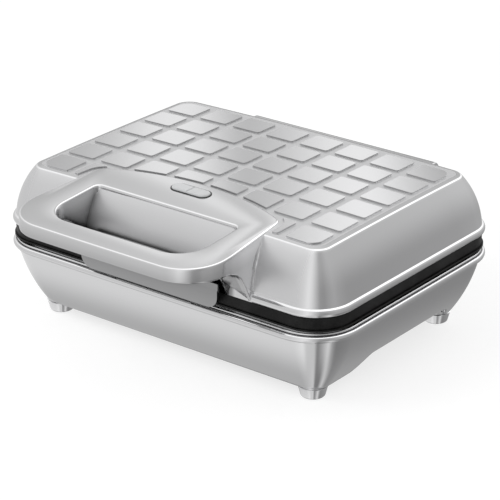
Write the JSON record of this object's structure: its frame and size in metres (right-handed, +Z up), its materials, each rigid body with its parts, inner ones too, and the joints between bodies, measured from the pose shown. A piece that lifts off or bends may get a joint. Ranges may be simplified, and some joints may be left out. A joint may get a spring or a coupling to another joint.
{
  "type": "waffle maker",
  "caption": "Countertop waffle maker: hinged lid with raised tiles and a loop handle, sprung front latch, pegged non-stick plates, rounded base on tapered feet.",
  "frame": {"origin": "on the table under the feet, midway between the handle's front and the cord inlet's back, in the left-right symmetry plane", "axes": "+Z up, +X to the right seen from the handle, -Y towards the handle"},
  "size_m": [0.2684, 0.2666, 0.1073],
  "materials": {
    "lid_finish": "silver, smooth metallic",
    "handle_finish": "silver, smooth metallic",
    "handle_cover_finish": "grey, fine matt",
    "base_finish": "silver, smooth metallic",
    "latch_finish": "silver, smooth metallic",
    "foot_finish": "polished silver",
    "steel": "plain steel",
    "spring_steel": "drawn wire",
    "heater_steel": "dull tube",
    "sheet_steel": "pressed sheet",
    "sheet_aluminium": "pressed sheet",
    "plate_coating": "black non-stick coating on cast aluminium",
    "rubber": "soft black",
    "dark_plastic": "black, fine matt",
    "lens": "clear, glossy",
    "lamp_glass": "tinted glass",
    "ceramic": "off-white ceramic body",
    "fuse_metal": "drawn can",
    "terminal_plastic": "white",
    "brass": "plain",
    "lead_sleeve": "woven heat sleeve"
  },
  "bodies": {
    "base": {"base_shell": "base_finish", "hinge_pin_left": "steel", "hinge_pin_right": "steel", "cord_inlet": "rubber", "bottom_cover": "dark_plastic", "foot_screws": "steel", "lower_plate": "plate_coating", "lower_heater": "heater_steel", "lower_heater_clips": "sheet_steel", "lower_clip_screws": "steel", "lower_heat_shield": "sheet_aluminium", "thermostat": "ceramic", "thermal_fuse": "fuse_metal", "terminal_block": "terminal_plastic", "terminal_screws": "brass", "base_leads": "lead_sleeve", "foot_front_left": "foot_finish", "foot_front_right": "foot_finish", "foot_rear_left": "foot_finish", "foot_rear_right": "foot_finish", "foot_pad_front_left": "rubber", "foot_pad_front_right": "rubber", "foot_pad_rear_left": "rubber", "foot_pad_rear_right": "rubber"},
    "lid": {"lid_shell": "lid_finish", "handle": "handle_finish", "handle_cover": "handle_cover_finish", "handle_cover_screws": "steel", "handle_screws": "steel", "indicator_lens": "lens", "lamp_holder": "dark_plastic", "power_lamp": "lamp_glass", "ready_lamp": "lamp_glass", "upper_plate": "plate_coating", "upper_plate_screws": "steel", "upper_heater": "heater_steel", "upper_heater_clips": "sheet_steel", "upper_clip_screws": "steel", "upper_heat_shield": "sheet_aluminium", "lid_leads": "lead_sleeve", "latch_pin": "steel", "latch_spring": "spring_steel"},
    "latch": {"latch": "latch_finish", "latch_hook": "steel"}
  },
  "joints": [
    {"name": "lid_hinge", "type": "hinge", "parent": "base", "child": "lid", "pos_m": [0, 0.12335, 0.061], "axis": [-1, 0, 0], "range_deg": [0, 100]},
    {"name": "latch_pivot", "type": "hinge", "parent": "lid", "child": "latch", "pos_m": [0, -0.08165, 0.0776], "axis": [-1, 0, 0], "range_deg": [0, 15], "stiffness_Nm_per_rad": 0.12, "springref_deg": -17.19}
  ]
}
